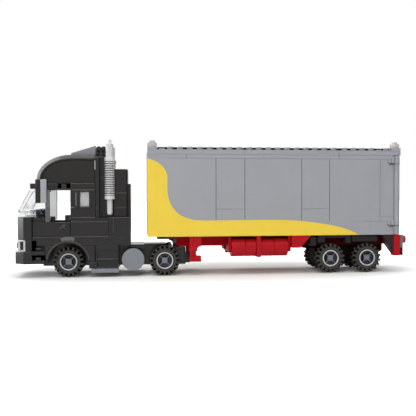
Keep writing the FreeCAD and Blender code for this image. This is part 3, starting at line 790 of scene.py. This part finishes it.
def makeHandles(settings):
    arc = arcLine(settings["centre"], settings["reach"], settings["steps"])[::-1]
    for side, body in ((-1, "cab_door_left"), (1, "cab_door_right")):
        bm = bmesh.new()
        route = [(x, side * settings["y"], z) for x, z in arc]
        feet = [(x, side * settings["foot"], settings["centre"][1]) for x in (arc[0][0], arc[-1][0])]
        addTube(bm, [feet[0]] + route + [feet[1]], settings["rod"], settings["rodSides"])
        finishPiece("doorHandle_" + body, bm, {**settings, "body": body})


makeHandles(handleSettings)

cabTrimSettings = {
    "sleeperFrames": {
        "soft": 0.45,
        "blocks": openFrame((-115.2, -101.4), (-110.6, -103.0), (23.7, 24.35), (55.4, 70.0), (57.2, 68.8))},
    # Painted highlights: light grey lines on the edges of the sleeper window frames
    "sleeperFrameEdges": {
        "slot": "dark_grey_plastic", "soft": 0.06, "colour": (112, 112, 112),
        "blocks": (((-114.0, -113.3), (24.2, 24.42), (57.6, 68.2)),
                   ((-110.6, -103.0), (24.2, 24.42), (56.6, 57.0)))},
    "sleeperBack": {"soft": 0.3, "single": (((-72.6, -70.5), (-15.9, 15.9), (48.1, 75.3)),)},
    # Painted highlights: lighter beads along the seams, where light catches the edges
    "seamBeads": {
        "soft": 0.04, "angle": 60, "colour": (66, 64, 61), "rod": 0.27,
        "rods": {
            23.85: (((-118.0, 75.2), (-98.9, 75.2)), ((-118.0, 70.5), (-98.9, 70.5)),
                    ((-118.0, 48.1), (-98.9, 48.1)), ((-117.8, 44.7), (-89.0, 44.7)),
                    ((-148.0, 32.75), (-88.5, 32.75)), ((-98.2, 55.8), (-95.8, 55.8)),
                    ((-98.4, 95.8), (-95.6, 95.8)), ((-88.2, 47.9), (-70.8, 47.9)),
                    ((-84.4, 36.0), (-84.4, 47.4))),
            15.85: (((-84.4, 67.8), (-73.9, 67.8)), ((-84.4, 87.1), (-73.9, 87.1)),
                    ((-84.4, 55.6), (-73.9, 55.6)), ((-94.8, 80.0), (-92.0, 80.0)),
                    ((-98.4, 97.0), (-84.9, 97.0)))}},
    "roofEndClips": {
        "slot": "silver_plastic", "soft": 0.04, "angle": 60, "rod": 0.3,
        "rods": {23.85: (((-98.6, 86.6), (-98.6, 93.9)),)}},
    "screenEdges": {
        "slot": "mid_grey_plastic", "soft": 0.05, "angle": 60, "colour": (160, 161, 163), "rod": 0.2,
        "rods": {24.12: (((-158.4, 53.9), (-149.3, 70.4)), ((-155.4, 54.2), (-147.2, 69.0)),
                         ((-153.1, 49.3), (-153.1, 52.4)), ((-151.6, 49.3), (-151.6, 52.4)))}},
    "screenLips": {
        "slot": "clear_plastic", "like": "silver_plastic", "soft": 0.1, "colour": (238, 239, 240),
        "prisms": ((((-158.3, 53.9), (-149.2, 70.4), (-147.3, 69.0), (-155.5, 54.2)), (23.6, 24.0)),),
        "blocks": (((-158.7, -152.4), (23.7, 24.04), (49.2, 53.4)),)},
    "screenSills": {
        "slot": "dark_grey_plastic", "soft": 0.1, "angle": 60, "colour": (104, 104, 105), "rod": 0.4,
        "rods": {16.3: (arcLine((-145.0, 50.9), (3.3, 3.4), 14),)},
        "blocks": (((-158.7, -144.6), (23.52, 24.12), (52.6, 53.1)),)},
}
for pieceName, chosen in cabTrimSettings.items():
    makeTrim(pieceName, chosen)

cornerSettings = {
    "slot": "clear_plastic", "soft": 0.2, "tone": (150, 150, 150), "roughness": 0.4, "paintedGlow": 0.45,
    "blocks": (((-141.4, -134.6), (21.0, 22.2), (44.9, 70.3)),
               ((-137.6, -134.6), (22.2, 23.9), (44.9, 70.3))),
}
postSettings = {"slot": "dark_grey_plastic", "soft": 0.05, "angle": 60, "rod": 0.3,
                "ends": ((-134.5, 21.0, 44.9), (-134.5, 21.0, 70.3))}


def makeFarCorner(settings, post):
    # Frosted quarter window and post on the right-hand side of the cab; the window glows faintly with painted
    # light
    bm = bmesh.new()
    for block in settings["blocks"]:
        addBlock(bm, *block)
    frosted = plasticMaterial("frostedCorner", {
        "colour": settings["tone"], "roughness": settings["roughness"]})
    shader = nodeOf(frosted, "BSDF_PRINCIPLED")
    # Painted light: the frosted window glows though no lamp lights it
    shader.inputs["Emission Color"].default_value = (1, 1, 1, 1)
    shader.inputs["Emission Strength"].default_value = settings["paintedGlow"]
    finishPiece("farCorner", bm, {**settings, "material": frosted})
    bm = bmesh.new()
    addTube(bm, post["ends"], post["rod"], 8)
    finishPiece("farCornerPost", bm, post)


makeFarCorner(cornerSettings, postSettings)

# The shadowRecesses are black blocks of painted shade; those of the steps are on the left side only
recessSettings = {
    "eaveDetails": {
        "soft": 0.2, "colour": (44, 42, 40),
        "blocks": (((-125.2, -121.4), (21.5, 22.3), (71.8, 75.2)),
                   ((-127.6, -118.4), (21.5, 22.1), (70.9, 71.5)),
                   ((-145.2, -141.3), (23.7, 24.25), (22.7, 24.2)),
                   ((-145.2, -141.3), (23.7, 24.25), (14.8, 16.5)))},
    "shadowRecesses": {
        "soft": 0.05, "colour": (1, 1, 1), "finish": {"shine": 0.0, "roughness": 0.9},
        "blocks": (((-127.6, -125.3), (21.3, 21.62), (71.0, 75.2)),
                   ((-121.3, -118.4), (21.3, 21.62), (71.0, 75.2))),
        "single": (((-147.9, -144.6), (-24.05, -23.6), (22.4, 30.0)),
                   ((-147.9, -138.4), (-24.05, -23.6), (14.5, 18.2)))},
    "headlampCores": {
        "soft": 0.2,
        "blocks": (((-157.3, -154.9), (22.8, 23.98), (22.7, 29.4)),
                   ((-160.7, -160.1), (15.0, 21.0), (23.7, 28.4)))},
    "headlampRims": {
        "slot": "clear_plastic", "like": "silver_plastic", "soft": 0.25, "colour": (192, 194, 195),
        "blocks": openFrame((-159.3, -153.3), (-157.3, -154.9), (22.4, 24.0), (21.5, 30.2), (22.7, 29.4))},
}
for pieceName, chosen in recessSettings.items():
    makeTrim(pieceName, chosen)
print("stage: cab trim made")


# Trailer trim: hinge clips of the rear doors, wall seams, tail slopes, leg collars and the coupling

hingeHeights = ((92.6, 97.6), (40.2, 44.4))
bracketSettings = {
    "body": "trailer", "slot": "light_grey_plastic", "soft": 0.3,
    "blocks": [block for low, high in hingeHeights for block in (
        ((147.0, 150.9), (23.5, 24.9), (low, high)), ((146.3, 147.9), (23.5, 25.3), (low - 0.3, low + 0.9)))],
}
hingeShadowSettings = {
    "body": "trailer", "slot": "dark_grey_plastic", "soft": 0.05, "colour": (58, 59, 61),
    "blocks": [block for low, high in hingeHeights for block in (
        ((146.5, 150.8), (23.8, 25.1), (low - 0.95, low - 0.35)),
        ((147.95, 148.3), (24.6, 24.98), (low, high - 0.4)),
        ((145.5, 146.2), (23.8, 24.2), (low + 0.2, low + 1.2)))],
}
knuckleSettings = {"axis": (154.2, 21.1), "radius": 3.02, "shadowRingRadius": 3.05, "sides": 28,
                   "knuckle": {"slot": "light_grey_plastic", "soft": 0.1, "angle": 40},
                   "ring": {"slot": "dark_grey_plastic", "soft": 0.04, "angle": 40}}


def makeKnuckles(settings):
    # Knuckles turn on the hinge's own body, each with a dark ring of painted shadow below it
    r, ring, sides = settings["radius"], settings["shadowRingRadius"], settings["sides"]
    for side, body in ((-1, "hold_door_left"), (1, "hold_door_right")):
        axis = (settings["axis"][0], side * settings["axis"][1])
        knuckles, rings = bmesh.new(), bmesh.new()
        for low, high in hingeHeights:
            revolve(knuckles, [(r - 0.4, low), (r, low + 0.3), (r, high - 0.3), (r - 0.4, high)], sides,
                    at=axis)
            revolve(rings, [(ring - 1.0, low - 0.95), (ring, low - 0.9), (ring, low - 0.4),
                            (ring - 1.0, low - 0.35)], sides, closed=True, at=axis)
        finishPiece("hingeKnuckles_" + body, knuckles, {**settings["knuckle"], "body": body})
        finishPiece("hingeRings_" + body, rings, {**settings["ring"], "body": body})


makeTrim("hingeBrackets", bracketSettings)
makeTrim("hingeShadows", hingeShadowSettings)
makeKnuckles(knuckleSettings)

trailerTrimSettings = {
    "wallBacks": {
        "slot": "light_grey_plastic", "soft": 0.05, "material": waveMaterial,
        "blocks": (((-56.7, 125.0), (23.3, 23.79), (32.3, 47.0)),
                   ((-56.7, -42.0), (23.3, 23.79), (46.0, 98.9)))},
    "wallGaps": {
        "slot": "dark_grey_plastic", "soft": 0.02, "colour": (44, 45, 47),
        "blocks": [((x - 0.17, x + 0.17), (23.5, 23.92), (low, 95.9)) for x, low in (
            (-1.0, 45.7), (23.0, 45.9), (71.0, 44.6), (95.0, 43.4))]},
    "wallLines": {
        "slot": "mid_grey_plastic", "soft": 0.02, "colour": (116, 118, 122),
        "blocks": (((139.3, 150.8), (23.7, 23.93), (47.3, 47.5)),
                   ((130.3, 130.5), (23.7, 23.93), (34.0, 43.0)),
                   ((139.0, 139.14), (23.7, 23.93), (47.6, 95.9)))},
    # Painted shade: the tail slopes and toes are dark brown and dark red for the shade under the tail
    "tailSlopes": {
        "slot": "red_plastic", "soft": 0.25, "colour": (54, 36, 38), "finish": {"shine": 0.1},
        "prisms": ((((141.0, 31.8), (151.2, 31.8), (151.2, 17.8)), (17.1, 23.85)),)},
    "tailToes": {
        "slot": "red_plastic", "soft": 0.25, "colour": (66, 12, 18), "finish": {"shine": 0.1},
        "prisms": ((((141.0, 31.8), (154.2, 31.8), (154.2, 14.2)), (12.0, 17.0)),)},
    "legCollars": {
        "slot": "red_plastic", "soft": 0.5,
        "blocks": (((-22.9, -16.4), (19.7, 23.75), (20.0, 23.0)),
                   ((-18.4, -13.3), (19.7, 23.75), (11.6, 16.4)))},
    "couplingJaws": {
        "slot": "dark_grey_plastic", "soft": 0.3, "colour": (88, 91, 90),
        "blocks": (((-36.2, -32.8), (8.0, 9.2), (25.85, 28.2)), ((-35.4, -32.0), (8.0, 8.8), (28.2, 29.6)))},
    "couplingSteps": {
        "body": "tractor", "slot": "dark_grey_plastic", "soft": 0.3, "colour": (88, 91, 90),
        "blocks": (((-39.3, -36.4), (8.0, 9.2), (23.4, 25.5)),)},
    "couplingBlock": {
        "soft": 0.2,
        "single": (((-38.8, -36.3), (-8.0, 8.0), (28.0, 30.4)),
                   ((-49.0, -37.9), (-15.9, 15.9), (29.6, 30.4)))},
}
for pieceName, chosen in trailerTrimSettings.items():
    makeTrim(pieceName, {"body": "trailer", **chosen})
print("stage: trailer trim made")


# Tyres with two offset rows of lugs

tyreSettings = {"radius": 12.4, "root": 10.3, "inner": 6.9, "half": 3.8, "lugs": 18, "lugHalf": 0.94,
                "lugFoot": 9.6, "lugSoft": 0.16, "lugAngle": 40, "sides": 72, "ridge": 11.6,
                "ridgeHalf": 0.35}
wheelCentres = {"steer": -120.28, "drive": -42.92, "tandem_front": 97.08, "tandem_rear": 129.08}
wheelY = 17.2


def lugItem(settings):
    # Side outline of one lug across half of the tread, over the shoulder and down the wall
    r, root, foot, half = settings["radius"], settings["root"], settings["lugFoot"], settings["half"]
    outline = [(0.1, root - 0.4), (0.1, r - 0.25), (0.35, r), (half - 0.9, r), (half - 0.25, r - 0.55),
               (half, r - 1.3), (half, foot + 0.5), (half - 0.2, foot), (half - 0.8, foot)]
    bm = bmesh.new()
    sides = []
    for side in (-1, 1):
        ring = []
        for y, z in outline:
            wide = settings["lugHalf"] * (0.92 if z > root else 0.92 * z / root)
            ring.append(bm.verts.new((side * wide * mm, y * mm, z * mm)))
        sides.append(ring)
    count = len(outline)
    for k in range(count):
        n = (k + 1) % count
        bm.faces.new((sides[0][k], sides[0][n], sides[1][n], sides[1][k]))
    bm.faces.new(sides[0][::-1])
    bm.faces.new(sides[1])
    item = meshObject("lugItem", bm)
    softenEdges(item, settings["lugSoft"], settings["lugAngle"])
    return item


def makeTyreMesh(settings):
    step = 2 * math.pi / settings["lugs"]
    lugs = []
    for shift, mirror in ((0.0, False), (0.5, True)):
        item = lugItem(settings)
        if mirror:
            item.data.transform(Matrix.Scale(-1, 4, (0, 1, 0)))
            item.data.flip_normals()
        turns = [(0, step * (k + shift), 0) for k in range(settings["lugs"])]
        lugs.append(scatterMesh("tyreLugs", item, [(0, 0, 0)] * settings["lugs"], tyreMaterial, turns))
    bm = bmesh.new()
    grooveShade = bm.verts.layers.float.new("grooveShade")
    half, root, inner = settings["half"], settings["root"], settings["inner"]
    wall = [(inner, half - 0.9), (inner + 0.25, half - 0.3), (inner + 0.9, half - 0.15),
            (inner + 1.6, half - 0.3), (inner + 1.9, half - 0.25), (inner + 2.5, half - 0.3),
            (root - 0.9, half - 0.7), (root, half - 1.2)]
    ridge, narrow = settings["ridge"], settings["ridgeHalf"]
    profile = wall + [(root, narrow), (ridge, narrow * 0.8), (ridge, -narrow * 0.8), (root, -narrow)]
    profile += [(r, -y) for r, y in wall[::-1]]
    revolve(bm, profile, settings["sides"], "Y", True)
    # Painted shade: the carcass is marked darker where it lies beyond the lug feet, between the lugs
    for vert in bm.verts:
        reach = math.hypot(vert.co.x, vert.co.z) / mm
        vert[grooveShade] = min(1.0, max(0.0, (reach - settings["lugFoot"]) / 0.4))
    for mesh in lugs:
        bm.from_mesh(mesh)
    carcass = bpy.data.meshes.new("tyreMesh")
    bmesh.ops.recalc_face_normals(bm, faces=bm.faces[:])
    bm.to_mesh(carcass)
    bm.free()
    carcass.shade_smooth()
    return carcass


rimSettings = {"radius": 6.85, "lip": 0.8, "half": 3.8, "recess": 0.4, "bore": 1.7, "hub": 2.25,
               "hubCut": 0.6, "arm": 0.38, "armShade": 0.3, "soft": 0.14, "angle": 35, "sides": 64}


def addSpoke(bm, settings, turn, face, recess):
    # One spoke, narrower towards the rim
    start, end, wide = settings["hub"] * 1.05, settings["radius"] - settings["lip"] - 0.1, settings["arm"]
    corners = []
    for y in (face - 1.4, face - 0.1):
        for u, v in ((start, -wide), (end, -wide * 0.7), (end, wide * 0.7), (start, wide)):
            x, z = u * math.cos(turn) - v * math.sin(turn), u * math.sin(turn) + v * math.cos(turn)
            corners.append(bm.verts.new((x * mm, y * mm, z * mm)))
            corners[-1][recess] = settings["armShade"]
    for ids in ((3, 2, 1, 0), (4, 5, 6, 7), (0, 1, 5, 4), (1, 2, 6, 5), (2, 3, 7, 6), (3, 0, 4, 7)):
        bm.faces.new([corners[i] for i in ids])


def makeRimMesh(settings):
    r, lip, half, floor, bore = (settings[k] for k in ("radius", "lip", "half", "recess", "bore"))
    bm = bmesh.new()
    recess = bm.verts.layers.float.new("recess")
    lipHighlight = bm.verts.layers.float.new("lip")
    revolve(bm, [(bore, -half), (r - 0.2, -half), (r, -half + 0.2), (r, half - 0.4), (r - 0.2, half - 0.05),
                 (r - lip * 0.5, half), (r - lip, half - 0.2), (r - lip - 0.1, half - 0.6),
                 (r - lip - 0.2, half - 1.2), (r - lip - 0.5, floor), (bore, floor)],
            settings["sides"], "Y", True)
    # Painted shade: the recess darkens with depth; painted highlight: the outer lip turns bright
    for vert in bm.verts:
        reach = math.hypot(vert.co.x, vert.co.z) / mm
        deep = (half - 0.3 - vert.co.y / mm) / 1.2
        vert[recess] = min(1.0, max(0.0, deep)) if reach < r - lip + 0.02 and vert.co.y > 0 else 0.0
        vert[lipHighlight] = 1.0 if reach > r - lip - 0.05 and vert.co.y / mm > half - 0.45 else 0.0
    hub, cut = settings["hub"], settings["hubCut"]
    face = half - 1.1
    outline = [(hub, hub - cut), (hub - cut, hub), (cut - hub, hub), (-hub, hub - cut), (-hub, cut - hub),
               (cut - hub, -hub), (hub - cut, -hub), (hub, cut - hub)]
    addPrism(bm, outline, (floor, face))
    revolve(bm, [(1.5, face - 0.1), (1.5, face + 0.25), (1.1, face + 0.3), (0.9, face + 0.1),
                 (0.4, face + 0.1)], 20, "Y")
    for k in range(4):
        addSpoke(bm, settings, math.radians(45 + 90 * k), face, recess)
    item = meshObject("rimItem", bm)
    bevel = softenEdges(item, settings["soft"], settings["angle"])
    shown = item.evaluated_get(bpy.context.evaluated_depsgraph_get())
    mesh = bpy.data.meshes.new_from_object(shown)
    item.modifiers.remove(bevel)
    bpy.data.objects.remove(item)
    return mesh


def makeWheels():
    tyreMesh = makeTyreMesh(tyreSettings)
    rimMesh = makeRimMesh(rimSettings)
    kinds = (("tyre", tyreMesh, "tyre_rubber", tyreMaterial), ("rim", rimMesh, "wheel_grey", rimMaterial))
    for place, x in wheelCentres.items():
        for sideName, side in (("left", -1), ("right", 1)):
            for kind, source, slotName, finish in kinds:
                mesh = source.copy()
                move = Matrix.Translation((x * mm, side * wheelY * mm, tyreSettings["radius"] * mm))
                mesh.transform(move @ Matrix.Scale(side, 4, (0, 1, 0)))
                if side < 0:
                    mesh.flip_normals()
                node = kind + "_" + place + "_" + sideName
                piece = addObject(node + "_moulded", mesh)
                placePiece(piece, bodyOf[node], slotName, finish, (node,))
                piece.data.shade_smooth()
    bpy.data.meshes.remove(tyreMesh)
    bpy.data.meshes.remove(rimMesh)


makeWheels()
print("stage: wheels made")


# Remaining frame nodes keep their shape and take the materials

for nodeName, nodeObject in frame["nodes"].items():
    if nodeObject.hide_render:
        continue
    if not nodeObject.material_slots:
        nodeObject.data.materials.append(materials[slotOf[nodeName]])
    for holder in nodeObject.material_slots:
        holder.material = materials[slotOf[nodeName]]


# Floor, light and background

stageSettings = {"world": 0.15, "floor": (224, 224, 223), "floorRoughness": 0.6, "floorShine": 0.1,
                 "below": -0.00005, "glow": 0.02, "clearFrom": 0.05, "clearTo": 0.15, "stretch": 2.2,
                 "size": 6.0}


def makeWorld(settings):
    world = bpy.data.worlds.new("studio")
    bpy.context.scene.world = world
    world.use_nodes = True
    tree = world.node_tree
    tree.nodes.clear()
    rays = addNode(tree, "ShaderNodeLightPath")
    seen = mathNode(tree, "MAXIMUM", rays.outputs["Is Camera Ray"], rays.outputs["Is Glossy Ray"])
    seen = mathNode(tree, "MAXIMUM", seen, rays.outputs["Is Transmission Ray"])
    lit = addNode(tree, "ShaderNodeBackground", {"Color": (1, 1, 1, 1), "Strength": settings["world"]})
    white = addNode(tree, "ShaderNodeBackground", {"Color": (1, 1, 1, 1), "Strength": 1.0})
    mixed = addNode(tree, "ShaderNodeMixShader", {0: seen, 1: lit.outputs[0], 2: white.outputs[0]})
    out = tree.nodes.new("ShaderNodeOutputWorld")
    tree.links.new(mixed.outputs[0], out.inputs["Surface"])


def makeFloor(settings):
    # The floor shades from lit plastic under the truck to plain white further away
    bm = bmesh.new()
    bmesh.ops.create_grid(bm, x_segments=1, y_segments=1, size=settings["size"])
    floor = meshObject("studioFloor", bm)
    floor.location = (0, 0, settings["below"])
    material, tree, shader = baseMaterial("studioFloor")
    shader.inputs["Base Color"].default_value = linear(*settings["floor"])
    shader.inputs["Roughness"].default_value = settings["floorRoughness"]
    shader.inputs["Specular IOR Level"].default_value = settings["floorShine"]
    rays = addNode(tree, "ShaderNodeLightPath")
    seen = mathNode(tree, "MAXIMUM", rays.outputs["Is Camera Ray"], rays.outputs["Is Transmission Ray"])
    place = addNode(tree, "ShaderNodeTexCoord").outputs["Object"]
    nearer = addNode(tree, "ShaderNodeVectorMath", {0: place, 1: (1 / settings["stretch"], 1, 1)},
                     operation="MULTIPLY").outputs["Vector"]
    away = addNode(tree, "ShaderNodeVectorMath", {0: nearer}, operation="LENGTH").outputs["Value"]
    rise = addNode(tree, "ShaderNodeMapRange", {
        "Value": away, "From Min": settings["clearFrom"], "From Max": settings["clearTo"],
        "To Min": settings["glow"], "To Max": 1.0}, interpolation_type="SMOOTHSTEP")
    strength = mathNode(tree, "MULTIPLY", seen, rise.outputs["Result"])
    glow = addNode(tree, "ShaderNodeEmission", {"Color": (1, 1, 1, 1), "Strength": strength})
    both = addNode(tree, "ShaderNodeAddShader", {0: shader.outputs[0], 1: glow.outputs[0]})
    tree.links.new(both.outputs[0], nodeOf(material, "OUTPUT_MATERIAL").inputs["Surface"])
    floor.data.materials.append(material)


lampSettings = {
    "key": {"place": (-0.45, -1.1, 0.75), "size": 0.9, "watts": 7.7},
    "top": {"place": (0.0, -0.08, 1.0), "size": 1.1, "watts": 12.0},
    "left": {"place": (-1.3, -0.1, 0.25), "size": 0.6, "watts": 2.6},
}
glintSettings = {
    "topGlint": {"place": (0.0, 0.25, 1.3), "size": 1.5, "watts": 3.0},
    "leftGlint": {"place": (-1.15, 0.3, 0.95), "size": 1.5, "watts": 52.0},
    "frontGlint": {"place": (-1.4, 0.3, 0.1), "size": 0.6, "watts": 5.0},
}


lampAim = (0, 0, 0.05)


def makeLamp(name, settings):
    data = bpy.data.lights.new(name, "AREA")
    data.shape = "DISK"
    data.size = settings["size"]
    data.energy = settings["watts"]
    lamp = addObject(name, data)
    lamp.location = settings["place"]
    aim = Vector(lampAim) - Vector(settings["place"])
    lamp.rotation_euler = aim.to_track_quat("-Z", "Y").to_euler()
    return lamp


makeWorld(stageSettings)
makeFloor(stageSettings)
for lampName, chosen in lampSettings.items():
    makeLamp(lampName, chosen)
for lampName, chosen in glintSettings.items():
    glint = makeLamp(lampName, chosen)
    glint.visible_diffuse = False
    glint.visible_transmission = False
    glint.visible_camera = False
bpy.context.scene.view_settings.view_transform = "Standard"
print("stage: light made")

print("stage: done")
